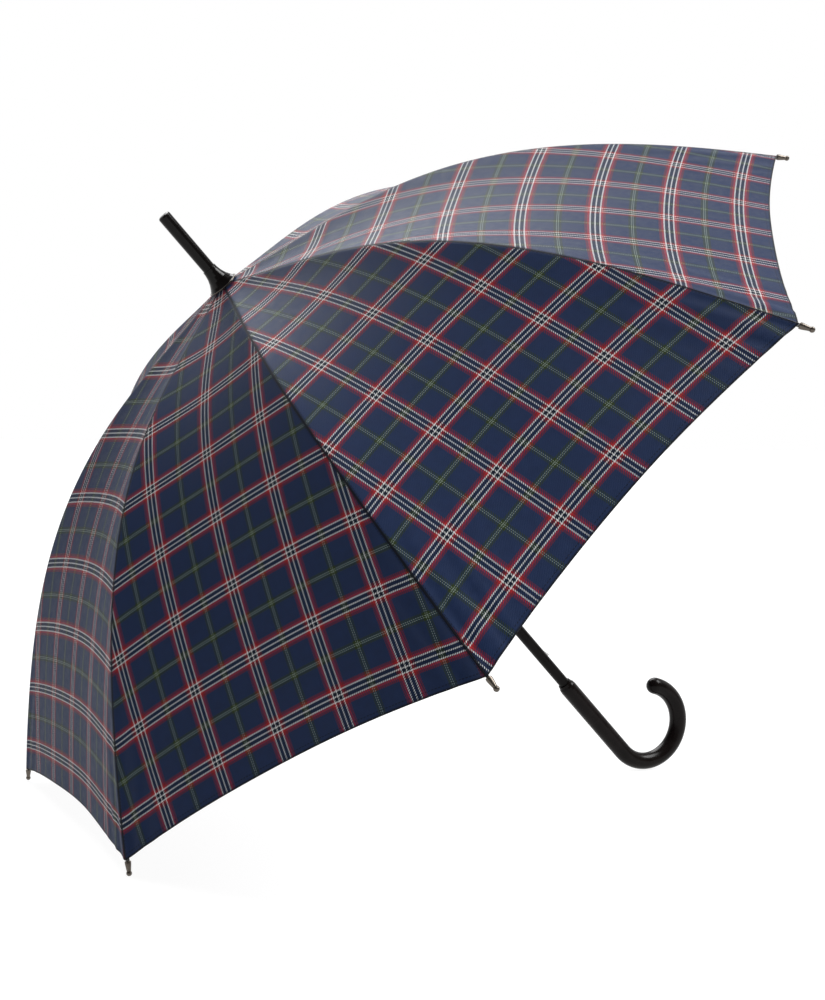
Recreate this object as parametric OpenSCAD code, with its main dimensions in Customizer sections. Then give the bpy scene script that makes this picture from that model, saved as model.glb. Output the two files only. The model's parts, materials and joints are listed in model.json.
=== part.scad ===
// Stick umbrella, open and lying on two rib tips and its crook handle.
// Built along its own shaft axis (Z up to the ferrule, the crook bends to +X), with depths
// measured down the shaft from the canopy apex, then leaned over onto the floor by place().
// Units are millimetres. The canopy, the ribs, the stretchers and the runner are separate nodes.

/* [Canopy] */
// Radius from the shaft axis to a fabric corner, open
canopy_r = 525; // [505:5:545]
// Depth of the rib line, first power of the radius share
rise_1 = 0.214; // [0.200:0.002:0.230]
// Depth of the rib line, second power of the radius share
rise_2 = -0.498; // [-0.510:0.002:-0.486]
// Depth of the rib line, third power of the radius share
rise_3 = 1.386; // [1.370:0.002:1.400]
// Depth of the rib line, fourth power of the radius share
rise_4 = -0.587; // [-0.600:0.001:-0.574]
// Modelled thickness of the fabric
fabric_t = 0.8; // [0.6:0.1:0.9]
// How far the hem is cut back at the middle of a gore
hem_cut = 14; // [6:1:20]
// How far a gore dips inwards halfway down
gore_dip = 7; // [3:1:8]

/* [Frame] */
// Radius of the ring of rib pivots round the shaft
pivot_r = 12; // [12:0.1:12.4]
// Share of the canopy radius at which the stretcher meets the rib
joint_share = 0.52; // [0.50:0.01:0.52]
// Width of a rib channel
rib_w = 2.6; // [2.4:0.1:2.6]
// Depth of a rib channel
rib_h = 2.4; // [2.2:0.1:2.6]
// Length of a rib tip, from the hem to the middle of its ball
tip_len = 11.5; // [10:0.5:14]
// Radius of the ball on a rib tip
tip_ball_r = 2.6; // [2.2:0.1:2.8]

/* [Shaft] */
// Outer radius of the shaft tube
shaft_r = 6.3; // [6.0:0.1:6.3]
// Wall of the shaft tube
shaft_wall = 1.0; // [0.8:0.1:1.2]
// Radius of the ferrule
ferrule_r = 6.7; // [6.6:0.1:6.9]
// Length of the ferrule above the apex
ferrule_len = 90; // [70:1:110]
// Outer radius of the flared cap at the apex
cap_r = 15.7; // [15.6:0.1:15.8]

/* [Handle] */
// Depth of the top of the grip below the apex
grip_top = 610; // [606:1:640]
// Depth at which the crook starts to bend
bend_start = 728; // [715:1:760]
// Radius of the crook's bend, to the middle of the grip
bend_r = 45.8; // [40:0.2:50]
// Angle through which the crook turns
bend_turn = 213; // [190:1:220]
// Radius of the grip
grip_r = 10; // [9.4:0.1:10.6]

/* [Hidden] */
gores = 8;
gore_angle = 360 / gores;
half_gore = gore_angle / 2;
hinge_gap = 0.07;
snug_gap = 0.02;
free_gap = 0.35;
pin_r = 0.8;
eye_r = 2.2;
wire_r = 0.8;
seam_gap = 0.35;
rib_drop = 2.3;
joint_drop = 5.6;
channel_t = 0.4;
rib_steps = 16;
rib_end_share = 1.009;
gore_start_r = 15.2;
gore_steps_u = 12;
gore_steps_v = 6;
slot_w = rib_w + 0.3;
fine = 64;
round_n = 32;
shaft_bore_r = shaft_r - shaft_wall;
shaft_top = -5;
shaft_end = 650;
runner_head_r = 14;
runner_head_h = 8;
runner_sleeve_r = 9;
runner_sleeve_len = 34;
runner_hub_r = 9.3;
catch_w = 2.4;
catch_len = 11;
catch_out = 2;
closed_splay = 1.5;
end_step = 0.1;
window_top = 12;
window_len = 16;
past = 1;
cap_top = 20.5;
cap_lip_z = -1.9;
ferrule_step = 0.4;
shoulder_gap = 0.3;
crown_rim = 1.4;
crown_low = -8.6;
crown_high = -0.2;
eye_w = 1.6;
web_reach = 2;
joint_clear = 5;
pin_len = 6.2;
pin_head_r = 1.4;
pin_head_t = 0.5;

// Depth of the rib line below the apex, and the sine and cosine of its slope, at share u.
function depth(u) = canopy_r * (rise_1 * u + rise_2 * u ^ 2 + rise_3 * u ^ 3 + rise_4 * u ^ 4);
function slope(u) = rise_1 + 2 * rise_2 * u + 3 * rise_3 * u ^ 2 + 4 * rise_4 * u ^ 3;
function slope_angle(u) = atan(slope(u));
// A point [radius, height] at share u of the rib line, moved to its inner side by d.
function rib_pt(u, d) = [
    canopy_r * u - d * sin(slope_angle(u)),
    -depth(u) - d * cos(slope_angle(u))
];

// Rib pivot at the crown, stretcher joint on the rib, and stretcher eye on the runner.
pivot_z = -depth(pivot_r / canopy_r) - rib_drop / cos(slope_angle(pivot_r / canopy_r));
joint_at = rib_pt(joint_share, joint_drop);
eye_z = 2 * joint_at[1] - pivot_z;
stretcher_len = norm([joint_at[0] - pivot_r, joint_at[1] - eye_z]);
stretcher_angle = atan2(joint_at[1] - eye_z, joint_at[0] - pivot_r);
closed_eye_z = pivot_z - 2 * stretcher_len * cos(closed_splay);
top_catch_z = eye_z - runner_sleeve_len - 0.6;
bottom_catch_z = closed_eye_z - window_top - window_len + 0.6;
tip_angle = slope_angle(1);
tip_foot = rib_pt(1, rib_drop);
ball_at = [tip_foot[0] + tip_len * cos(tip_angle), tip_foot[1] - tip_len * sin(tip_angle)];

// The umbrella rests on two balls and on the crook, so its lean is that of their tangent.
ball_side = -ball_at[0] * cos(half_gore);
rest_dx = bend_r - ball_side;
rest_dz = -bend_start - ball_at[1];
rest_d = norm([rest_dx, rest_dz]);
crook_out_r = bend_r + grip_r;
lean = acos((tip_ball_r - crook_out_r) / rest_d) - atan2(rest_dx, -rest_dz);
floor_z = bend_r * sin(lean) - bend_start * cos(lean) - crook_out_r;
skirt_x = [
    for (j = [0 : gore_steps_u]) for (k = [0 : gore_steps_v])
        let (p = gore_pt(gore_share(j), -1 + 2 * k / gore_steps_v, fabric_t))
            -p[0] * cos(lean) - p[2] * sin(lean)
];
low_x = min(min(skirt_x), ball_side * cos(lean) - ball_at[1] * sin(lean) - tip_ball_r);
high_x = bend_r * cos(lean) + bend_start * sin(lean) + crook_out_r;
mid_x = (low_x + high_x) / 2;

// Leans the umbrella over so that it rests on the floor, centred on the origin.
module place() {
    translate([-mid_x, 0, -floor_z]) rotate([0, -lean, 0]) children();
}

// Turns a piece drawn in the X-Z plane to rib number i.
module at_rib(i) {
    place() rotate([0, 0, (i - 0.5) * gore_angle]) children();
}

// A flat plate of width w across the rib, from an outline of [radius, height] points.
module plate(outline, w) {
    rotate([90, 0, 0]) linear_extrude(height = w, center = true) polygon(outline);
}

// A disc of radius r and width w, round a hinge line at p.
module disc(p, r, w) {
    translate([p[0], 0, p[1]]) rotate([90, 0, 0])
        cylinder(h = w, r = r, center = true, $fn = round_n);
}

// The outline between two depths below the rib line, over shares u0 to u1.
function band(u0, u1, d0, d1) = concat(
    [for (k = [0 : rib_steps]) rib_pt(u0 + (u1 - u0) * k / rib_steps, d0)],
    [for (k = [rib_steps : -1 : 0]) rib_pt(u0 + (u1 - u0) * k / rib_steps, d1)]
);

// A rib channel, open on its inner side.
module channel(u0, u1) {
    top = rib_drop - rib_h / 2;
    difference() {
        plate(band(u0, u1, top, top + rib_h), rib_w);
        plate(band(u0 - 0.01, u1 + 0.01, top + channel_t, top + rib_h + 1), rib_w - 2 * channel_t);
    }
}

// A web of width w from a hinge eye at p to the channel at q.
module web(p, q, w) {
    hull() {
        disc(p, eye_r, w);
        disc(q, rib_h / 2 - 0.05, w);
    }
}

module shaft() {
    color("#141414") place() difference() {
        translate([0, 0, -shaft_end])
            cylinder(h = shaft_end - shaft_top, r = shaft_r, $fn = fine);
        translate([0, 0, -shaft_end - past])
            cylinder(h = shaft_end - shaft_top + 2 * past, r = shaft_bore_r, $fn = fine);
        catch_slot(top_catch_z, -1);
        catch_slot(bottom_catch_z, 1);
    }
}

// The slot in the shaft wall for a catch whose shoulder is at height z and leaf runs to side.
module catch_slot(z, side) {
    translate([shaft_r, 0, z + side * catch_len / 2])
        cube([shaft_r, catch_w + 2 * snug_gap, catch_len + past], center = true);
}

// A leaf spring in the shaft, with a shoulder that stands out of its slot at height z.
module spring_catch(z, side) {
    root_r = shaft_bore_r - 1.4;
    out_r = shaft_r + catch_out;
    color("#b9bcc0") place() plate([
        [root_r, z], [out_r, z], [out_r, z + side * 1.4],
        [shaft_bore_r + 0.4, z + side * catch_len], [root_r, z + side * catch_len]
    ], catch_w);
}

module top_catch() {
    spring_catch(top_catch_z, -1);
}

module bottom_catch() {
    spring_catch(bottom_catch_z, 1);
}

module ferrule() {
    spigot_len = 18;
    tip_round = 2.2;
    base_z = snug_gap - shaft_top;
    neck_r = ferrule_r - ferrule_step;
    shoulder_z = cap_top + shoulder_gap;
    color("#0b0b0b") place() union() {
        translate([0, 0, -spigot_len])
            cylinder(h = spigot_len + base_z + past, r = shaft_bore_r - snug_gap, $fn = fine);
        rotate_extrude($fn = fine) polygon([
            [0, base_z], [neck_r, base_z], [neck_r, shoulder_z], [ferrule_r, shoulder_z],
            [ferrule_r, ferrule_len - tip_round],
            [ferrule_r - tip_round * 0.3, ferrule_len - tip_round * 0.3],
            [ferrule_r - tip_round, ferrule_len], [0, ferrule_len]
        ]);
    }
}

// The flared cap: its outer flare from the neck to the lip, then its hollow inner side.
module ferrule_cap() {
    bore = ferrule_r - ferrule_step + snug_gap;
    flare = [[7.5, cap_top], [7.7, 17], [8.7, 12], [10.6, 7], [13.2, 2.5], [cap_r - 0.5, -0.2]];
    lip = [[cap_r, cap_lip_z], [cap_r - 0.9, cap_lip_z]];
    hollow = [[14.2, 0], [11.9, 2.2], [9.5, 5.5], [bore, 9]];
    color("#111111") place() rotate_extrude($fn = fine)
        polygon(concat([[bore, cap_top]], flare, lip, hollow));
}

module cap_ring() {
    ring_wire_r = 0.5;
    ring_z = -1;
    color("#8d8a80") place() translate([0, 0, ring_z]) rotate_extrude($fn = fine)
        translate([cap_r + ring_wire_r + snug_gap, 0]) circle(r = ring_wire_r, $fn = 16);
}

// The ring of rib pivots: a hub on the shaft with one slot for each rib.
module crown() {
    slot_floor_r = pivot_r - eye_r - 0.4;
    slot_top = pivot_z + eye_r + 0.25;
    color("#2a2a2a") place() difference() {
        translate([0, 0, crown_low]) difference() {
            cylinder(h = crown_high - crown_low, r = pivot_r + crown_rim, $fn = fine);
            translate([0, 0, -past])
                cylinder(h = crown_high - crown_low + 2 * past, r = shaft_r + snug_gap, $fn = fine);
        }
        wire_ring(pivot_z, wire_r + snug_gap);
        for (i = [1 : gores])
            rotate([0, 0, (i - 0.5) * gore_angle])
                translate([slot_floor_r, -slot_w / 2, crown_low - past])
                    cube([2 * crown_rim + 2 * eye_r, slot_w, slot_top - crown_low + past]);
    }
}

// A ring of wire of radius r, through the pivots at height z.
module wire_ring(z, r) {
    translate([0, 0, z]) rotate_extrude($fn = fine) translate([pivot_r, 0]) circle(r = r, $fn = 24);
}

module crown_wire() {
    color("#9a9a9a") place() wire_ring(pivot_z, wire_r);
}

// The slider: a slotted head for the stretchers, and a sleeve with a window for the catch.
module runner() {
    head_low = eye_z - runner_head_h / 2;
    color("#1b1b1b") place() difference() {
        union() {
            translate([0, 0, head_low])
                cylinder(h = runner_head_h, r = runner_head_r, $fn = fine);
            translate([0, 0, eye_z - runner_sleeve_len])
                cylinder(h = runner_sleeve_len, r = runner_sleeve_r, $fn = fine);
        }
        translate([0, 0, eye_z - runner_sleeve_len - past])
            cylinder(h = runner_sleeve_len + runner_head_h, r = shaft_r + hinge_gap, $fn = fine);
        wire_ring(eye_z, wire_r + snug_gap);
        translate([0, -catch_w / 2 - free_gap, eye_z - window_top - window_len])
            cube([runner_sleeve_r + past, catch_w + 2 * free_gap, window_len]);
        for (i = [1 : gores])
            rotate([0, 0, (i - 0.5) * gore_angle])
                translate([runner_hub_r, -slot_w / 2, head_low - past])
                    cube([runner_head_r - runner_hub_r + past, slot_w, runner_head_h + 2 * past]);
    }
}

module runner_wire() {
    color("#9a9a9a") place() wire_ring(eye_z, wire_r);
}

// The crook handle: a straight grip with a rounded shoulder, a bend and a ball end.
module handle() {
    grip_len = bend_start - grip_top;
    color("#121212") place() union() {
        difference() {
            translate([0, 0, -bend_start])
                rotate_extrude($fn = fine) polygon([
                    [0, 0], [grip_r, 0], [grip_r, grip_len - 6],
                    [grip_r - 0.5, grip_len - 2], [grip_r - 1.4, grip_len], [0, grip_len]
                ]);
            translate([0, 0, -shaft_end - snug_gap])
                cylinder(h = shaft_end, r = shaft_r + snug_gap, $fn = fine);
        }
        translate([bend_r, 0, -bend_start]) rotate([90, 0, 0]) rotate([0, 0, 180])
            rotate_extrude(angle = bend_turn, $fn = 96)
                translate([bend_r, 0]) circle(r = grip_r, $fn = 48);
        translate([bend_r - bend_r * cos(bend_turn), 0, -bend_start - bend_r * sin(bend_turn)])
            sphere(r = grip_r - end_step, $fn = 48);
    }
}

module handle_collar() {
    collar_len = 3;
    color("#3a3a3a") place() translate([0, 0, -grip_top + snug_gap]) difference() {
        cylinder(h = collar_len, r1 = grip_r - 1.6, r2 = grip_r - 2.2, $fn = fine);
        translate([0, 0, -past])
            cylinder(h = collar_len + 2 * past, r = shaft_r + snug_gap, $fn = fine);
    }
}

// The inner rib: from its eye on the crown wire to the stretcher joint.
module rib(i) {
    pivot = [pivot_r, pivot_z];
    joint_w = 1.0;
    u_near = (pivot_r + 8) / canopy_r;
    u_far = joint_share - joint_clear / canopy_r;
    color("#4b4a47") at_rib(i) difference() {
        union() {
            channel(u_near, u_far);
            web(pivot, rib_pt(u_near + web_reach / canopy_r, rib_drop), eye_w);
            web(joint_at, rib_pt(u_far - web_reach / canopy_r, rib_drop), joint_w);
        }
        disc(pivot, wire_r + hinge_gap + 0.03, rib_w + past);
        disc(joint_at, pin_r + snug_gap, rib_w + past);
    }
}

// The outer rib: from the stretcher joint to the tip.
module rib_end(i) {
    ear_w = 0.7;
    ear_y = 1.2;
    u_near = joint_share + joint_clear / canopy_r;
    color("#4b4a47") at_rib(i) difference() {
        union() {
            channel(u_near, rib_end_share);
            for (side = [-1, 1])
                translate([0, side * ear_y, 0])
                    web(joint_at, rib_pt(u_near + web_reach / canopy_r, rib_drop), ear_w);
        }
        disc(joint_at, pin_r + hinge_gap, pin_len);
    }
}

// The pin through a stretcher joint, with a flat head at each end.
module pin(i) {
    color("#a8a59c") at_rib(i) union() {
        disc(joint_at, pin_r, pin_len);
        for (side = [-1, 1]) translate([0, side * pin_len / 2, 0])
            disc(joint_at, pin_head_r, pin_head_t);
    }
}

// The strut from the runner to the rib, forked round the joint.
module stretcher(i) {
    fork_w = 0.8;
    fork_y = 2.25;
    fork_len = 10;
    rod_w = 2.4;
    rod_h = 2.2;
    rod_start = 5;
    bridge_len = 2.4;
    color("#55534f") at_rib(i) translate([pivot_r, 0, eye_z]) rotate([0, -stretcher_angle, 0])
        difference() {
            union() {
                translate([rod_start, -rod_w / 2, -rod_h / 2])
                    cube([stretcher_len - fork_len - rod_start + past, rod_w, rod_h]);
                translate([stretcher_len - fork_len, -fork_y - fork_w / 2, -rod_h / 2])
                    cube([bridge_len, 2 * fork_y + fork_w, rod_h]);
                hull() {
                    disc([0, 0], eye_r, eye_w);
                    disc([rod_start + 2, 0], rod_h / 2, eye_w);
                }
                for (side = [-1, 1]) translate([0, side * fork_y, 0]) hull() {
                    disc([stretcher_len, 0], eye_r - 0.1, fork_w);
                    disc([stretcher_len - fork_len + 1.2, 0], rod_h / 2, fork_w);
                }
            }
            disc([0, 0], wire_r + free_gap, rib_w + past);
            disc([stretcher_len, 0], pin_r + hinge_gap, pin_len + 2 * past);
        }
}

// The metal end of a rib: a tapered tube with a small ball.
module tip(i) {
    foot = 0.6;
    color("#5d564b") at_rib(i) translate([tip_foot[0], 0, tip_foot[1]])
        rotate([0, 90 + tip_angle, 0]) difference() {
            union() {
                rotate_extrude($fn = round_n) polygon([
                    [0, foot], [2.7, foot], [2.9, foot + 0.5], [2.9, foot + 2.4],
                    [1.9, tip_len - 1.4], [0, tip_len - 1.4]
                ]);
                translate([0, 0, tip_len]) sphere(r = tip_ball_r, $fn = round_n);
            }
            translate([-rib_h / 2 - snug_gap, -rib_w / 2 - snug_gap, -1])
                cube([rib_h + 2 * snug_gap, rib_w + 2 * snug_gap, tip_len * 0.8]);
        }
}

// A point of a gore's surface, at share u down the rib and v from seam to seam, t outwards.
function gore_pt(u, v, t) =
    let (
        a = atan(slope(u) / cos(half_gore)),
        bow = 1 - v * v,
        inward = bow * (gore_dip * sin(180 * u) + 2.5 * u) - t,
        upward = bow * hem_cut * u,
        r = canopy_r * u * cos(half_gore) - inward * sin(a) - upward * cos(a),
        h = -depth(u) - inward * cos(a) + upward * sin(a)
    )
    [r, v * (canopy_r * u * sin(half_gore) - seam_gap), h];

// The share of the canopy radius at row j of a gore's grid.
function gore_share(j) =
    let (u0 = gore_start_r / canopy_r) u0 + (1 - u0) * j / gore_steps_u;

// One panel of the canopy, a closed skin of even thickness between two ribs.
module gore(i) {
    nu = gore_steps_u;
    nv = gore_steps_v;
    row = nv + 1;
    top = (nu + 1) * row;
    points = [
        for (t = [0, fabric_t]) for (j = [0 : nu]) for (k = [0 : nv])
            gore_pt(gore_share(j), -1 + 2 * k / nv, t)
    ];
    cells = [for (j = [0 : nu - 1]) for (k = [0 : nv - 1]) j * row + k];
    rim = concat(
        [for (k = [0 : nv - 1]) k], [for (j = [0 : nu - 1]) j * row + nv],
        [for (k = [nv : -1 : 1]) nu * row + k], [for (j = [nu : -1 : 1]) j * row]
    );
    faces = concat(
        [for (c = cells) [c, c + 1, c + row]], [for (c = cells) [c + 1, c + row + 1, c + row]],
        [for (c = cells) [top + c, top + c + row, top + c + 1]],
        [for (c = cells) [top + c + 1, top + c + row, top + c + row + 1]],
        [for (k = [0 : len(rim) - 1])
            [rim[k], top + rim[k], top + rim[(k + 1) % len(rim)]]],
        [for (k = [0 : len(rim) - 1])
            [rim[k], top + rim[(k + 1) % len(rim)], rim[(k + 1) % len(rim)]]]
    );
    color("#26385f") place() rotate([0, 0, i * gore_angle]) polyhedron(points, faces);
}

shaft();
ferrule();
ferrule_cap();
cap_ring();
crown();
crown_wire();
runner();
runner_wire();
top_catch();
bottom_catch();
handle();
handle_collar();
rib(1);  // rib_1
rib(2);  // rib_2
rib(3);  // rib_3
rib(4);  // rib_4
rib(5);  // rib_5
rib(6);  // rib_6
rib(7);  // rib_7
rib(8);  // rib_8
rib_end(1);  // rib_end_1
rib_end(2);  // rib_end_2
rib_end(3);  // rib_end_3
rib_end(4);  // rib_end_4
rib_end(5);  // rib_end_5
rib_end(6);  // rib_end_6
rib_end(7);  // rib_end_7
rib_end(8);  // rib_end_8
stretcher(1);  // stretcher_1
stretcher(2);  // stretcher_2
stretcher(3);  // stretcher_3
stretcher(4);  // stretcher_4
stretcher(5);  // stretcher_5
stretcher(6);  // stretcher_6
stretcher(7);  // stretcher_7
stretcher(8);  // stretcher_8
pin(1);  // pin_1
pin(2);  // pin_2
pin(3);  // pin_3
pin(4);  // pin_4
pin(5);  // pin_5
pin(6);  // pin_6
pin(7);  // pin_7
pin(8);  // pin_8
tip(1);  // tip_1
tip(2);  // tip_2
tip(3);  // tip_3
tip(4);  // tip_4
tip(5);  // tip_5
tip(6);  // tip_6
tip(7);  // tip_7
tip(8);  // tip_8
gore(1);  // gore_1
gore(2);  // gore_2
gore(3);  // gore_3
gore(4);  // gore_4
gore(5);  // gore_5
gore(6);  // gore_6
gore(7);  // gore_7
gore(8);  // gore_8
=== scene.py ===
"""A stick umbrella lying open on two rib tips and its crook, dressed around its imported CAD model."""

import json
import math

import bpy
import numpy as np
from mathutils import Matrix, Vector


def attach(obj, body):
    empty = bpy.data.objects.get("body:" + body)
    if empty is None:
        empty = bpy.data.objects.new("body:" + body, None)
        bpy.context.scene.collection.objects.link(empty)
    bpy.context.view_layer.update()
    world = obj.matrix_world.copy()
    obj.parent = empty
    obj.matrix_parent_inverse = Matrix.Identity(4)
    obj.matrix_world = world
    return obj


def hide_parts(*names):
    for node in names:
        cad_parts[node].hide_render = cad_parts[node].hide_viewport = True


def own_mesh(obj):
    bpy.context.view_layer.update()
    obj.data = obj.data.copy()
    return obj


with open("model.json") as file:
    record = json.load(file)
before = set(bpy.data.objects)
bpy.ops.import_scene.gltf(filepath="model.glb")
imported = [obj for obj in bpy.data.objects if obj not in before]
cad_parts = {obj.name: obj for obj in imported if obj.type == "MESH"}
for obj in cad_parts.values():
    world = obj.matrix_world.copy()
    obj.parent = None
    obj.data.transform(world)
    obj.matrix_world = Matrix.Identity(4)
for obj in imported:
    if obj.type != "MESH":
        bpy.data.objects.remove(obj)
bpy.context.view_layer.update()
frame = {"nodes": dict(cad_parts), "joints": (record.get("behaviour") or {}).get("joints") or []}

# ---------------------------------------------------------------- sizes, in metres, as in the CAD
GORES = 8
GORE_ANGLE = 2 * math.pi / GORES
HALF_GORE = GORE_ANGLE / 2
CANOPY_R = 0.525
RISE = (0.214, -0.498, 1.386, -0.587)  # the rib line's fall, per power of the share of the radius
HEM_CUT = 0.014
GORE_DIP = 0.007
GORE_BELLY = 0.0025
CLOTH_OUT = 0.0006
RIB_DROP = 0.0023
PIVOT_R = 0.012
JOINT_SHARE = 0.52
ARC_SHARE_END = 1.02
ARC_STEPS = 600

# The cloth's shape beyond the CAD: the sewn seam, the turned hem, and its slight unevenness.
SEAM_GROOVE = 0.0005
SEAM_GROOVE_W = 0.0016
SEAM_MEET = 8  # power with which the cloth's height falls to the rib line at a seam
CLOTH_START = 0.016
CLOTH_OPENS = 0.034
HEM_TURN = 0.006
HEM_FOLD_GAP = 0.0008
TIP_PULL = 0.0009
TIP_PULL_W = 0.05
TIP_PULL_WAVES = 260  # radians per metre from the seam
TIP_PULL_FADE = 7
HEM_SLACK = 0.0012
HEM_SLACK_WAVES = 5.0  # radians per half gore
GORE_PHASE = 1.7
NORMAL_STEP = 1e-4

# Spare width added to each rib's strip of cloth, so that the strips meet when the umbrella closes.
STRIP_SPARE = 0.0006

# How finely the cloth is meshed.
STRIP_COLUMNS = np.array([0.0, 0.3, 0.55, 0.72, 0.84, 0.93, 1.0])
SIDE_COLUMNS = np.linspace(0, 1, 22)
UPPER_ROWS = np.concatenate([[CLOTH_START], np.linspace(CLOTH_OPENS, JOINT_SHARE, 60)])
LOWER_ROWS = np.linspace(JOINT_SHARE, 1.0, 64)

# ---------------------------------------------------------------- the tartan, in millimetres
MM = 1000
REPEAT = 69.2
TWILL = 2.1
THREAD = 0.5
STRIPE_BLUR = 0.12
FIRST_BAND = 30.5
BAND_STEP = 67.0
BAND_GROWTH = 0.85
BAND_SHIFT = {1: -9.0, 2: 14.0, 3: -14.0, 4: -2.0, 5: -1.7, 6: 11.2, 7: -17.0, 8: 6.0}
WHOLE_REPEATS = 100  # keeps positions on the cloth above zero

NAVY = (0.0102, 0.0215, 0.063)
INK = (0.002, 0.006, 0.016)
WHITE = (0.56, 0.57, 0.57)
RED = (0.29, 0.013, 0.016)
DIM_RED = (0.120, 0.012, 0.021)
OLIVE = (0.020, 0.032, 0.009)
PALE = (0.22, 0.28, 0.24)
# The dark of the painted shade along the seams and the hem, and of the stitches' thread.
EDGE_SHADE_AND_THREAD = (0.003, 0.004, 0.008)

# The stripes from the middle of a band to the middle of the next ground: outer edge, colour.
STRIPES = (
    (0.65, WHITE),
    (3.9, INK),
    (5.2, WHITE),
    (7.4, RED),
    (9.8, DIM_RED),
    (30.9, NAVY),
    (33.5, OLIVE),
    (34.0, PALE),
    (34.6, OLIVE),
)

# Where the twill's wave changes from cross threads on top to lengthwise ones.
TWILL_TURNS = (-0.05, 0.35)

# Painted shade along the edges, in the seams' gaps and under the hem's fold: full as far as the first
# distance, gone by the second, and how dark.
SEAM_PAINTED_SHADE = (0.9, 1.9, 0.96)
HEM_PAINTED_SHADE = (1.0, 2.4, 0.8)

# Rows of stitches: distance from the edge, width, pitch.
HEM_STITCHES = (4.6, 0.7, 3.2)
SEAM_STITCHES = (2.2, 0.6, 3.0)
STITCH_EDGE = (0.5, 0.8)
STITCH_SHARE = 0.65
STITCH_START = 900.0
STITCH_DARK = 0.6
STITCH_DEPTH = 1.5

TWILL_HEIGHT = 0.35
THREAD_HEIGHT = 0.2
WEAVE_DEPTH = 0.00012
WEAVE_STRENGTH = 0.5
SLUB_SCALE = 9.0
SLUB_SHADE = (0.9, 1.08)
CLOTH_ROUGH = (0.52, 0.66)
CLOTH_CONSTANTS = {
    "Specular IOR Level": 0.10,
    "Sheen Weight": 0.02,
    "Sheen Roughness": 0.35,
    "Sheen Tint": (0.75, 0.83, 1.0, 1.0),
}

# ---------------------------------------------------------------- the hard finishes
FINISHES = {
    "black_gloss": {"base": (0.0035, 0.0026, 0.0024), "rough": (0.12, 0.20), "specular": 0.14},
    "black_satin": {"base": (0.0035, 0.0026, 0.0024), "rough": (0.24, 0.34), "specular": 0.08},
    "grip_black": {
        "base": (0.0040, 0.0024, 0.0022),
        "rough": (0.20, 0.30),
        "specular": 0.10,
        "grain": 1400.0,
    },
    "dark_plastic": {"base": (0.016, 0.016, 0.017), "rough": (0.42, 0.55), "specular": 0.4},
    "bronze": {"base": (0.115, 0.10, 0.085), "rough": (0.28, 0.42), "metallic": 1.0},
    "rib_steel": {"base": (0.10, 0.098, 0.094), "rough": (0.38, 0.52), "metallic": 0.9},
    "steel_wire": {"base": (0.55, 0.55, 0.54), "rough": (0.22, 0.34), "metallic": 1.0},
}
PATCH_SCALE = 60.0
PATCH_SPAN = (0.3, 0.7)  # where a noise's low and high ends are taken to lie
PATCH_DARK = 0.8
PATCH_LIGHT = 1.25
PATCH_LIFT = 0.002
GRAIN_DEPTH = 0.00002
GRAIN_STRENGTH = 0.6

# The finish of each CAD node, by its name or by how its name starts.
NODE_FINISH = {
    "shaft": "black_satin",
    "ferrule": "black_gloss",
    "ferrule_cap": "black_gloss",
    "cap_ring": "bronze",
    "crown": "dark_plastic",
    "crown_wire": "steel_wire",
    "runner": "dark_plastic",
    "runner_wire": "steel_wire",
    "top_catch": "steel_wire",
    "bottom_catch": "steel_wire",
    "handle": "grip_black",
    "handle_collar": "grip_black",
}
GROUP_FINISH = {
    "rib_": "rib_steel",
    "stretcher_": "rib_steel",
    "pin_": "steel_wire",
    "tip_": "bronze",
    "gore_": "tartan_cloth",
}

# ---------------------------------------------------------------- studio and camera
PURE_WHITE = (1.0, 1.0, 1.0, 1.0)
FLOOR_HALF = 60.0
FLOOR_DROP = 0.0005
FLOOR_CONSTANTS = {
    "Base Color": (0.14, 0.14, 0.14, 1.0),
    "Emission Color": PURE_WHITE,
    "Emission Strength": 0.91,
    "Roughness": 0.9,
    "Specular IOR Level": 0.1,
}
BACKDROP_R = 55.0
BACKDROP_CONSTANTS = {
    "Base Color": (0.0, 0.0, 0.0, 1.0),
    "Specular IOR Level": 0.0,
    "Emission Color": PURE_WHITE,
    "Emission Strength": 1.0,
}
ROOM_DIM = 0.18
SWEEP_TOWARDS = (0.417, 0.909, 0.0)
SWEEP_EDGE = (-0.1, 0.45)
OVERHEAD_DIM = 0.4
OVERHEAD_EDGE = (0.32, 0.8)

# The suns: name, strength, softness in degrees, direction towards the light.
SUNS = (
    ("key", 4.4, 35, (0.55, -0.32, 0.85)),
    ("top_back", 2.9, 40, (0.08, 0.63, 0.80)),
)

CAMERA_AT = (-0.74697, -1.49505, 0.39531)
CAMERA_RIGHT = Vector((0.90929, -0.41592, 0.01452))
CAMERA_DOWN = Vector((-0.02774, -0.09537, -0.99506))
CAMERA_LENS = 54.96
CAMERA_SENSOR = 36.0
CAMERA_SHIFT = (0.0552, 0.0849)
CAMERA_SEES_TO = 200.0


# ---------------------------------------------------------------- the umbrella's own axes
def depth(u):
    """Depth of the rib line below the apex at share u of the canopy's radius."""
    return CANOPY_R * sum(k * u ** (n + 1) for n, k in enumerate(RISE))


def slope(u):
    """How steeply the rib line falls at share u."""
    return sum((n + 1) * k * u**n for n, k in enumerate(RISE))


def pivot_depth():
    """Depth of the ribs' pivots below the apex of the cloth."""
    share = PIVOT_R / CANOPY_R
    return depth(share) + RIB_DROP / math.cos(math.atan(slope(share)))


JOINTS = {j["name"]: j for j in frame["joints"]}
UP = -Vector(JOINTS["runner_slide"]["axis"]).normalized()
SIDE = Vector((0, 1, 0))
OUT = SIDE.cross(UP)
PIVOTS = [Vector(JOINTS[f"rib_hinge_{i}"]["pos_m"]) for i in range(1, GORES + 1)]
APEX = sum(PIVOTS, Vector()) / GORES + UP * pivot_depth()
AXES = np.array([OUT, SIDE, UP])


def to_row(points):
    """Points in the umbrella's own axes, moved to the row frame."""
    return points @ AXES + np.array(APEX)


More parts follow.
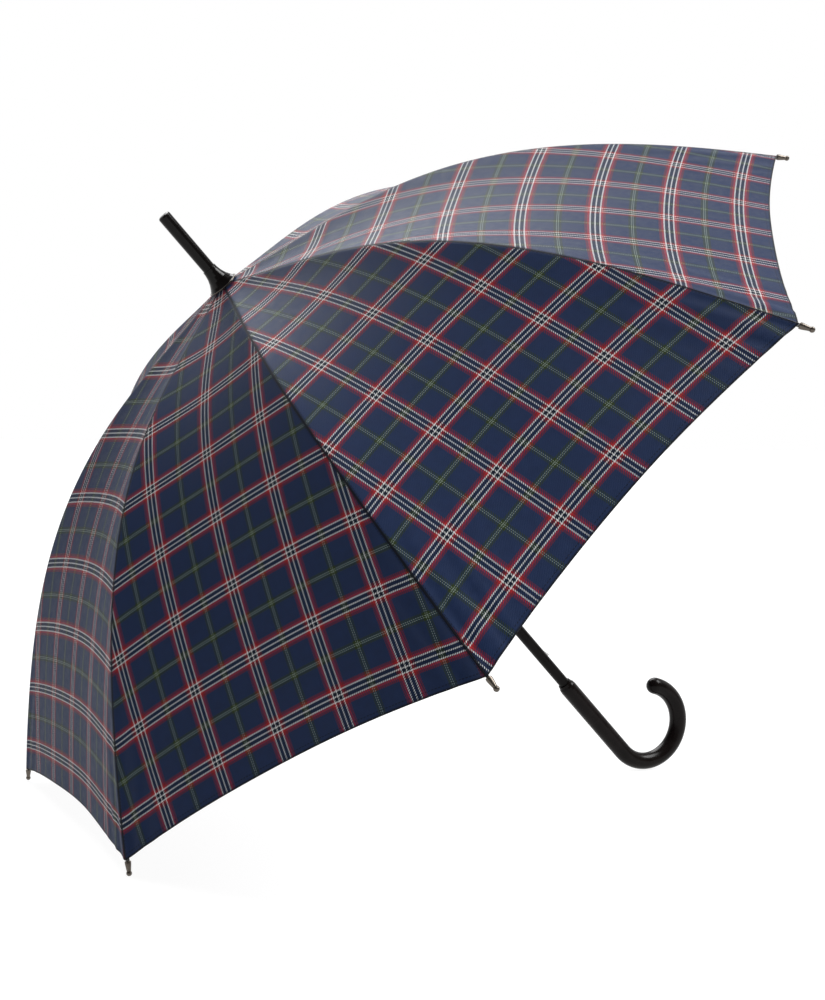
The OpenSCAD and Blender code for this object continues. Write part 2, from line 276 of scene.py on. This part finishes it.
def radial(angle):
    """The direction away from the shaft at an angle round it, in the row frame."""
    return OUT * math.cos(angle) + SIDE * math.sin(angle)


def rib_line(rib, u):
    """A point on the seam over a rib."""
    angle = (rib - 0.5) * GORE_ANGLE
    return APEX + radial(angle) * (CANOPY_R * u) - UP * depth(u)


def side_of(u):
    """Half width of a gore at share u."""
    return CANOPY_R * u * math.sin(HALF_GORE)


def centre_arc():
    """Shares, and the length of a gore's centre line from the apex to each of them."""
    u = np.linspace(0, ARC_SHARE_END, ARC_STEPS)
    across = np.diff(u) * CANOPY_R * math.cos(HALF_GORE)
    step = np.hypot(across, np.diff(depth(u)))
    return u, np.concatenate([[0], np.cumsum(step)])


ARC_U, ARC_LEN = centre_arc()
HEM_ARC = float(np.interp(1.0, ARC_U, ARC_LEN))


# ---------------------------------------------------------------- the canopy's surface
def ripple(gore, u, v, from_seam):
    """Soft unevenness of stretched cloth: pulls towards the rib tips, and slack along the hem."""
    near_tip = np.exp(-(((1 - u) * TIP_PULL_FADE) ** 2)) * np.exp(-((from_seam / TIP_PULL_W) ** 2))
    pull = TIP_PULL * near_tip * np.sin(from_seam * TIP_PULL_WAVES + gore)
    slack = HEM_SLACK * u**3 * np.sin(v * HEM_SLACK_WAVES + gore * GORE_PHASE) * (1 - v * v)
    return pull + slack


def cloth_points(gore, u, v):
    """The cloth's outer face at share u and side v, from seam (-1) to seam (1), in the row frame."""
    lean = np.arctan(slope(u) / math.cos(HALF_GORE))
    bow = 1 - v * v
    from_seam = (1 - np.abs(v)) * side_of(u)
    groove = SEAM_GROOVE * np.exp(-((from_seam / SEAM_GROOVE_W) ** 2))
    inward = bow * (GORE_DIP * np.sin(math.pi * u) + GORE_BELLY * u) + groove
    inward = inward - CLOTH_OUT * (1 - v**SEAM_MEET) + ripple(gore, u, v, from_seam)
    upward = bow * HEM_CUT * u
    r = CANOPY_R * u * math.cos(HALF_GORE) - inward * np.sin(lean) - upward * np.cos(lean)
    h = -depth(u) - inward * np.cos(lean) + upward * np.sin(lean)
    y = v * side_of(u)
    turn = gore * GORE_ANGLE
    x_row = r * math.cos(turn) - y * math.sin(turn)
    y_row = r * math.sin(turn) + y * math.cos(turn)
    return to_row(np.stack([x_row, y_row, h], axis=-1))


def cloth_normals(gore, u, v):
    """The outward directions of the cloth's outer face."""
    v_low = np.clip(v - NORMAL_STEP, -1, 1)
    v_high = np.clip(v + NORMAL_STEP, -1, 1)
    along = cloth_points(gore, u + NORMAL_STEP, v) - cloth_points(gore, u - NORMAL_STEP, v)
    across = cloth_points(gore, u, v_high) - cloth_points(gore, u, v_low)
    n = np.cross(across, along)
    n /= np.linalg.norm(n, axis=-1, keepdims=True)
    out = n @ np.array(UP) + n @ np.array(radial(gore * GORE_ANGLE))
    return np.where(out[..., None] < 0, -n, n)


# ---------------------------------------------------------------- cloth meshes
def patch(gore, rows, start_v, end_v, columns):
    """A grid of cloth of one gore, between two sides given for each row."""
    u = np.repeat(rows[:, None], len(columns), axis=1)
    v = start_v[:, None] + (end_v - start_v)[:, None] * columns[None, :]
    points = cloth_points(gore, u, v)
    normals = cloth_normals(gore, u, v)
    if rows[-1] >= 1.0:
        points, normals, u, v = turned_hem(gore, points, normals, u, v)
    return points, normals, u, v


def turned_hem(gore, points, normals, u, v):
    """Adds the hem's edge and the cloth turned under it."""
    edge_u, edge_v = u[-1:], v[-1:]
    back_u = edge_u - HEM_TURN / CANOPY_R
    away = points[-1:] - points[-2:-1]
    away /= np.linalg.norm(away, axis=-1, keepdims=True)
    lower = points[-1:] - normals[-1:] * HEM_FOLD_GAP
    back = cloth_points(gore, back_u, edge_v) - normals[-1:] * HEM_FOLD_GAP
    fold_normal = (away - normals[-1:]) / math.sqrt(2)
    points = np.concatenate([points, lower, back])
    normals = np.concatenate([normals, fold_normal, -normals[-1:]])
    u = np.concatenate([u, edge_u, back_u])
    v = np.concatenate([v, edge_v, edge_v])
    return points, normals, u, v


def hem_distance(u):
    """Distance from the hem up the gore, in millimetres."""
    return (HEM_ARC - np.interp(u, ARC_U, ARC_LEN)) * MM


def cloth_uv(gore, u, v):
    """Position on the woven cloth, in tartan repeats."""
    x = v * side_of(u) * MM
    root = np.sqrt(BAND_STEP**2 + 4 * BAND_GROWTH * (hem_distance(u) - FIRST_BAND))
    band = (root - BAND_STEP) / (2 * BAND_GROWTH)
    return np.stack([(x - BAND_SHIFT[gore]) / REPEAT, band], axis=-1)


def edge_uv(u, v):
    """Distance from the seam and from the hem, in millimetres."""
    return np.stack([(1 - np.abs(v)) * side_of(u) * MM, hem_distance(u)], axis=-1)


def faces_of(points, normals):
    """Quads of a grid, wound so that they face the way the normals do."""
    n_rows, n_cols = points.shape[:2]
    index = np.arange(n_rows * n_cols).reshape(n_rows, n_cols)
    corners = (index[:-1, :-1], index[:-1, 1:], index[1:, 1:], index[1:, :-1])
    faces = np.stack([corner.ravel() for corner in corners], axis=1)
    i, j = n_rows // 2, n_cols // 2
    across = points[i, j] - points[i, j - 1]
    along = points[i, j] - points[i - 1, j]
    if np.dot(np.cross(across, along), normals[i, j]) < 0:
        faces = faces[:, ::-1]
    return faces


def cloth_object(name, parts, cloth):
    """One mesh from patches of cloth, with its two UV maps and its smooth normals."""
    points, normals, faces, woven, edges = [], [], [], [], []
    start = 0
    for gore, (p, n, u, v) in parts:
        faces.append(faces_of(p, n) + start)
        points.append(p.reshape(-1, 3))
        normals.append(n.reshape(-1, 3))
        woven.append(cloth_uv(gore, u, v).reshape(-1, 2))
        edges.append(edge_uv(u, v).reshape(-1, 2))
        start += p.shape[0] * p.shape[1]
    points, faces = np.concatenate(points), np.concatenate(faces)
    mesh = bpy.data.meshes.new(name)
    mesh.from_pydata(points.tolist(), [], faces.tolist())
    for title, values in (("cloth", woven), ("edge", edges)):
        layer = mesh.uv_layers.new(name=title)
        layer.data.foreach_set("uv", np.concatenate(values)[faces.ravel()].ravel())
    mesh.shade_smooth()
    mesh.normals_split_custom_set_from_vertices(np.concatenate(normals).tolist())
    mesh.materials.append(cloth)
    obj = bpy.data.objects.new(name, mesh)
    bpy.context.scene.collection.objects.link(obj)
    return obj


# ---------------------------------------------------------------- how the cloth folds
def turned(points, joint):
    """Points moved as a hinge turns from rest to its upper limit."""
    angle = math.radians(joint["range_deg"][1])
    turn = np.array(Matrix.Rotation(angle, 3, Vector(joint["axis"])))
    centre = np.array(joint["pos_m"])
    return (points - centre) @ turn.T + centre


def closed_radius(u):
    """How far from the shaft a point of the rib line lies when the umbrella is closed."""
    swing, flex = JOINTS["rib_hinge_1"], JOINTS["rib_flex_1"]
    line = np.array([rib_line(1, x) for x in u])
    line = np.where((u > JOINT_SHARE)[:, None], turned(line, flex), line)
    from_apex = turned(line, swing) - np.array(APEX)
    along = from_apex @ np.array(UP)
    return np.sqrt(np.maximum((from_apex**2).sum(axis=1) - along**2, 0))


def strip_share(u):
    """Half the rib strip's width as a share of the gore's half width: closed, the strips meet."""
    reach = closed_radius(u) * math.tan(HALF_GORE) / math.cos(HALF_GORE) + STRIP_SPARE
    return np.minimum(1.0, reach / np.maximum(side_of(u), 1e-6))


def gore_beside(rib, side):
    """The number of the gore on one side (1 or -1) of a rib."""
    return rib if side > 0 else (rib - 1) % GORES or GORES


def dress_strip(rib, part, rows, body, cloth):
    """The strip of cloth sewn along a rib, with the seam down its middle."""
    low, high = gore_beside(rib, -1), gore_beside(rib, 1)
    share, seam = strip_share(rows), np.ones_like(rows)
    left = patch(low, rows, 1 - share, seam, STRIP_COLUMNS)
    right = patch(high, rows, -seam, share - 1, 1 - STRIP_COLUMNS[::-1])
    obj = cloth_object(f"seam_{part}_{rib}", [(low, left), (high, right)], cloth)
    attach(obj, body)
    return obj


def dress_side(rib, side, part, rows, body, cloth):
    """The cloth from a rib's strip to the middle of the gore beside it."""
    gore, share = gore_beside(rib, side), strip_share(rows)
    piece = patch(gore, rows, -side * (1 - share), 0 * rows, SIDE_COLUMNS)
    letter = "a" if side > 0 else "b"
    obj = cloth_object(f"cloth_{part}_{rib}{letter}", [(gore, piece)], cloth)
    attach(obj, body)
    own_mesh(obj)


def dress_canopy(cloth):
    """The whole cover: strips along the ribs and the cloth between them, split where ribs flex."""
    for rib in range(1, GORES + 1):
        inner, outer = f"inner_rib_{rib}", f"outer_rib_{rib}"
        strip = dress_strip(rib, "upper", UPPER_ROWS, inner, cloth)
        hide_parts(f"gore_{rib}")
        dress_strip(rib, "lower", LOWER_ROWS, outer, cloth)
        for side in (-1, 1):
            dress_side(rib, side, "upper", UPPER_ROWS[1:], inner, cloth)
            dress_side(rib, side, "lower", LOWER_ROWS, outer, cloth)


# ---------------------------------------------------------------- material helpers
def new_material(name):
    """A material with its node tree and its main shader."""
    material = bpy.data.materials.new(name)
    material.use_nodes = True
    tree = material.node_tree
    return material, tree, tree.nodes["Principled BSDF"]


def set_constants(shader, constants):
    """Sets what is the same all over a surface on the shader's own sockets."""
    for title, value in constants.items():
        shader.inputs[title].default_value = value


def plug(tree, socket, value):
    """Links a socket or sets a constant on an input."""
    if hasattr(value, "is_output"):
        tree.links.new(value, socket)
    else:
        socket.default_value = value


def calc(tree, operation, a, b=0.0):
    """The result of a sum on sockets or numbers."""
    node = tree.nodes.new("ShaderNodeMath")
    node.operation = operation
    plug(tree, node.inputs[0], a)
    plug(tree, node.inputs[1], b)
    return node.outputs[0]


def mix_colour(tree, share, a, b, mode="MIX"):
    """Colour a, or b where the share is 1."""
    node = tree.nodes.new("ShaderNodeMix")
    node.data_type = "RGBA"
    node.blend_type = mode
    plug(tree, node.inputs["Factor"], share)
    plug(tree, node.inputs["A"], a if hasattr(a, "is_output") else (*a, 1.0))
    plug(tree, node.inputs["B"], b if hasattr(b, "is_output") else (*b, 1.0))
    return node.outputs["Result"]


def ramp(tree, value, stops):
    """A colour ramp from (position, colour) stops."""
    node = tree.nodes.new("ShaderNodeValToRGB")
    elements = node.color_ramp.elements
    while len(elements) < len(stops):
        elements.new(1.0)
    for element, (position, colour) in zip(elements, stops):
        element.position = position
        element.color = (*colour, 1.0)
    plug(tree, node.inputs[0], value)
    return node.outputs[0]


def map_range(tree, value, low, high, to_low=0.0, to_high=1.0):
    """A value moved from one span to another, and kept inside it."""
    node = tree.nodes.new("ShaderNodeMapRange")
    for socket, number in zip(node.inputs, (value, low, high, to_low, to_high)):
        plug(tree, socket, number)
    return node.outputs[0]


def grey_of(tree, value):
    """A grey colour as light as a value."""
    node = tree.nodes.new("ShaderNodeCombineColor")
    for socket in node.inputs[:3]:
        tree.links.new(value, socket)
    return node.outputs[0]


def uv_parts(tree, title):
    """The two numbers of a UV map, and the map itself."""
    node = tree.nodes.new("ShaderNodeUVMap")
    node.uv_map = title
    split = tree.nodes.new("ShaderNodeSeparateXYZ")
    tree.links.new(node.outputs[0], split.inputs[0])
    return split.outputs[0], split.outputs[1], node.outputs[0]


def noise(tree, vector, scale, detail, roughness):
    """Smooth noise at a point."""
    node = tree.nodes.new("ShaderNodeTexNoise")
    node.inputs["Scale"].default_value = scale
    node.inputs["Detail"].default_value = detail
    node.inputs["Roughness"].default_value = roughness
    tree.links.new(vector, node.inputs["Vector"])
    return node.outputs[0]


def bump(tree, shader, height, distance, strength):
    """Gives a shader fine relief, its distance in metres."""
    node = tree.nodes.new("ShaderNodeBump")
    node.inputs["Distance"].default_value = distance
    node.inputs["Strength"].default_value = strength
    tree.links.new(height, node.inputs["Height"])
    tree.links.new(node.outputs[0], shader.inputs["Normal"])


# ---------------------------------------------------------------- the tartan cloth
def stripe_colour(tree, repeats):
    """The colour of the threads that run at this many repeats across the cloth."""
    fraction = calc(tree, "FRACT", calc(tree, "ADD", repeats, WHOLE_REPEATS + 0.5))
    away = calc(tree, "ABSOLUTE", calc(tree, "SUBTRACT", fraction, 0.5))
    half = REPEAT / 2
    stops = [(0.0, STRIPES[0][1])]
    for (edge, colour), (_, following) in zip(STRIPES, STRIPES[1:]):
        stops.append(((edge - STRIPE_BLUR) / half, colour))
        stops.append(((edge + STRIPE_BLUR) / half, following))
    return ramp(tree, calc(tree, "MULTIPLY", away, 2.0), stops)


def waves(tree, repeats, pitch):
    """A sine wave across the cloth, its pitch in millimetres."""
    return calc(tree, "SINE", calc(tree, "MULTIPLY", repeats, 2 * math.pi * REPEAT / pitch))


def painted_edge_shade(tree, distance, shade, colour):
    """Darkens the cloth near an edge with painted shade."""
    full, gone, most = shade
    return mix_colour(tree, map_range(tree, distance, full, gone, most, 0.0), colour, EDGE_SHADE_AND_THREAD)


def stitch_row(tree, distance, run, stitches):
    """1 on the stitches of a row that runs at a distance from an edge."""
    at, width, pitch = stitches
    off = calc(tree, "ABSOLUTE", calc(tree, "SUBTRACT", distance, at))
    in_row = map_range(tree, off, width * STITCH_EDGE[0], width * STITCH_EDGE[1], 1.0, 0.0)
    beat = calc(tree, "FRACT", calc(tree, "DIVIDE", calc(tree, "ADD", run, STITCH_START), pitch))
    return calc(tree, "MULTIPLY", in_row, calc(tree, "LESS_THAN", beat, STITCH_SHARE))


def cloth_relief(tree, twill, across, stitches):
    """The height of the weave: twill rows and single threads, pressed in under the stitches."""
    rows = calc(tree, "MULTIPLY", twill, TWILL_HEIGHT)
    threads = calc(tree, "MULTIPLY", waves(tree, across, THREAD), THREAD_HEIGHT)
    weave = calc(tree, "ADD", rows, threads)
    return calc(tree, "SUBTRACT", weave, calc(tree, "MULTIPLY", stitches, STITCH_DEPTH))


def tartan_cloth():
    """Twill cloth: lengthwise and crosswise stripes take turns on top along diagonal rows."""
    material, tree, shader = new_material("tartan_cloth")
    across, along, woven = uv_parts(tree, "cloth")
    from_seam, from_hem, _ = uv_parts(tree, "edge")
    twill = waves(tree, calc(tree, "SUBTRACT", across, along), TWILL)
    top = map_range(tree, twill, *TWILL_TURNS)
    colour = mix_colour(tree, top, stripe_colour(tree, along), stripe_colour(tree, across))
    # Painted shade: the cloth is darkened in the seams' gaps and along the hem's fold.
    colour = painted_edge_shade(tree, from_seam, SEAM_PAINTED_SHADE, colour)
    colour = painted_edge_shade(tree, from_hem, HEM_PAINTED_SHADE, colour)
    slub = noise(tree, woven, SLUB_SCALE, 4.0, 0.6)
    shade = map_range(tree, slub, *PATCH_SPAN, *SLUB_SHADE)
    colour = mix_colour(tree, 1.0, colour, grey_of(tree, shade), "MULTIPLY")
    along_hem = calc(tree, "MULTIPLY", across, REPEAT)
    hem_row = stitch_row(tree, from_hem, along_hem, HEM_STITCHES)
    seam_row = stitch_row(tree, from_seam, from_hem, SEAM_STITCHES)
    stitches = calc(tree, "MAXIMUM", hem_row, seam_row)
    colour = mix_colour(tree, calc(tree, "MULTIPLY", stitches, STITCH_DARK), colour, EDGE_SHADE_AND_THREAD)
    tree.links.new(colour, shader.inputs["Base Color"])
    bump(tree, shader, cloth_relief(tree, twill, across, stitches), WEAVE_DEPTH, WEAVE_STRENGTH)
    roughness = map_range(tree, slub, *PATCH_SPAN, *CLOTH_ROUGH)
    tree.links.new(roughness, shader.inputs["Roughness"])
    set_constants(shader, CLOTH_CONSTANTS)
    return material


# ---------------------------------------------------------------- the hard parts' materials
def surfaced(name, base, rough, metallic=0.0, specular=0.5, grain=900.0):
    """A hard finish with uneven colour and gloss, and a fine grain of the given scale."""
    material, tree, shader = new_material(name)
    set_constants(shader, {"Metallic": metallic, "Specular IOR Level": specular})
    place = tree.nodes.new("ShaderNodeTexCoord").outputs["Object"]
    patches = noise(tree, place, PATCH_SCALE, 4.0, 0.6)
    low = tuple(x * PATCH_DARK for x in base)
    high = tuple(x * PATCH_LIGHT + PATCH_LIFT for x in base)
    colour = ramp(tree, patches, list(zip(PATCH_SPAN, (low, high))))
    tree.links.new(colour, shader.inputs["Base Color"])
    tree.links.new(map_range(tree, patches, *PATCH_SPAN, *rough), shader.inputs["Roughness"])
    bump(tree, shader, noise(tree, place, grain, 3.0, 0.5), GRAIN_DEPTH, GRAIN_STRENGTH)
    return material


def finish_of(name):
    """The finish of a CAD node."""
    starts = (finish for start, finish in GROUP_FINISH.items() if name.startswith(start))
    return NODE_FINISH.get(name) or next(starts)


def dress_cad(finishes):
    """Gives every CAD node its finish."""
    for name, obj in frame["nodes"].items():
        obj.data.materials.clear()
        obj.data.materials.append(finishes[finish_of(name)])


# ---------------------------------------------------------------- floor, light and camera
def make_floor():
    """A softly glowing white floor."""
    mesh = bpy.data.meshes.new("floor")
    s = FLOOR_HALF
    mesh.from_pydata([(-s, -s, 0), (s, -s, 0), (s, s, 0), (-s, s, 0)], [], [(0, 1, 2, 3)])
    floor = bpy.data.objects.new("floor", mesh)
    bpy.context.scene.collection.objects.link(floor)
    floor.location.z = -FLOOR_DROP
    material, _, shader = new_material("floor_white")
    set_constants(shader, FLOOR_CONSTANTS)
    mesh.materials.append(material)


def make_backdrop():
    """A plain white dome that only the camera sees, so that it takes no part in the lighting."""
    bpy.ops.mesh.primitive_uv_sphere_add(segments=96, ring_count=48, radius=BACKDROP_R)
    dome = bpy.context.object
    dome.name = "backdrop"
    for kind in ("diffuse", "glossy", "transmission", "volume_scatter", "shadow"):
        setattr(dome, f"visible_{kind}", False)
    material, _, shader = new_material("backdrop_white")
    set_constants(shader, BACKDROP_CONSTANTS)
    dome.data.materials.append(material)


def make_world():
    """A white sweep behind the umbrella that dims overhead and on the camera's side of the room."""
    world = bpy.data.worlds.new("studio")
    bpy.context.scene.world = world
    world.use_nodes = True
    tree = world.node_tree
    direction = tree.nodes.new("ShaderNodeTexCoord").outputs["Generated"]
    split = tree.nodes.new("ShaderNodeSeparateXYZ")
    tree.links.new(direction, split.inputs[0])
    facing = tree.nodes.new("ShaderNodeVectorMath")
    facing.operation = "DOT_PRODUCT"
    facing.inputs[1].default_value = SWEEP_TOWARDS
    tree.links.new(direction, facing.inputs[0])
    around = map_range(tree, facing.outputs["Value"], *SWEEP_EDGE, ROOM_DIM, 1.0)
    above = map_range(tree, split.outputs[2], *OVERHEAD_EDGE, 1.0, OVERHEAD_DIM)
    background = tree.nodes["Background"]
    background.inputs[0].default_value = PURE_WHITE
    tree.links.new(calc(tree, "MULTIPLY", around, above), background.inputs[1])


def make_lights():
    """The suns, as large soft lights."""
    for name, strength, softness, towards in SUNS:
        light = bpy.data.lights.new(name, "SUN")
        light.energy = strength
        light.angle = math.radians(softness)
        holder = bpy.data.objects.new(name, light)
        holder.rotation_euler = Vector(towards).to_track_quat("Z", "Y").to_euler()
        bpy.context.scene.collection.objects.link(holder)


def make_camera():
    """The photograph's viewpoint."""
    data = bpy.data.cameras.new("camera")
    data.lens = CAMERA_LENS
    data.sensor_width = CAMERA_SENSOR
    data.shift_x, data.shift_y = CAMERA_SHIFT
    data.clip_end = CAMERA_SEES_TO
    camera = bpy.data.objects.new("camera", data)
    right = CAMERA_RIGHT.normalized()
    back = right.cross(-CAMERA_DOWN).normalized()
    up = back.cross(right)
    turn = Matrix((right, up, back)).transposed().to_4x4()
    camera.matrix_world = Matrix.Translation(CAMERA_AT) @ turn
    bpy.context.scene.collection.objects.link(camera)
    bpy.context.scene.camera = camera


finishes = {name: surfaced(name, **finish) for name, finish in FINISHES.items()}
finishes["tartan_cloth"] = tartan_cloth()
dress_cad(finishes)
dress_canopy(finishes["tartan_cloth"])
make_floor()
make_backdrop()
make_world()
make_lights()
make_camera()
bpy.context.scene.view_settings.view_transform = "Standard"
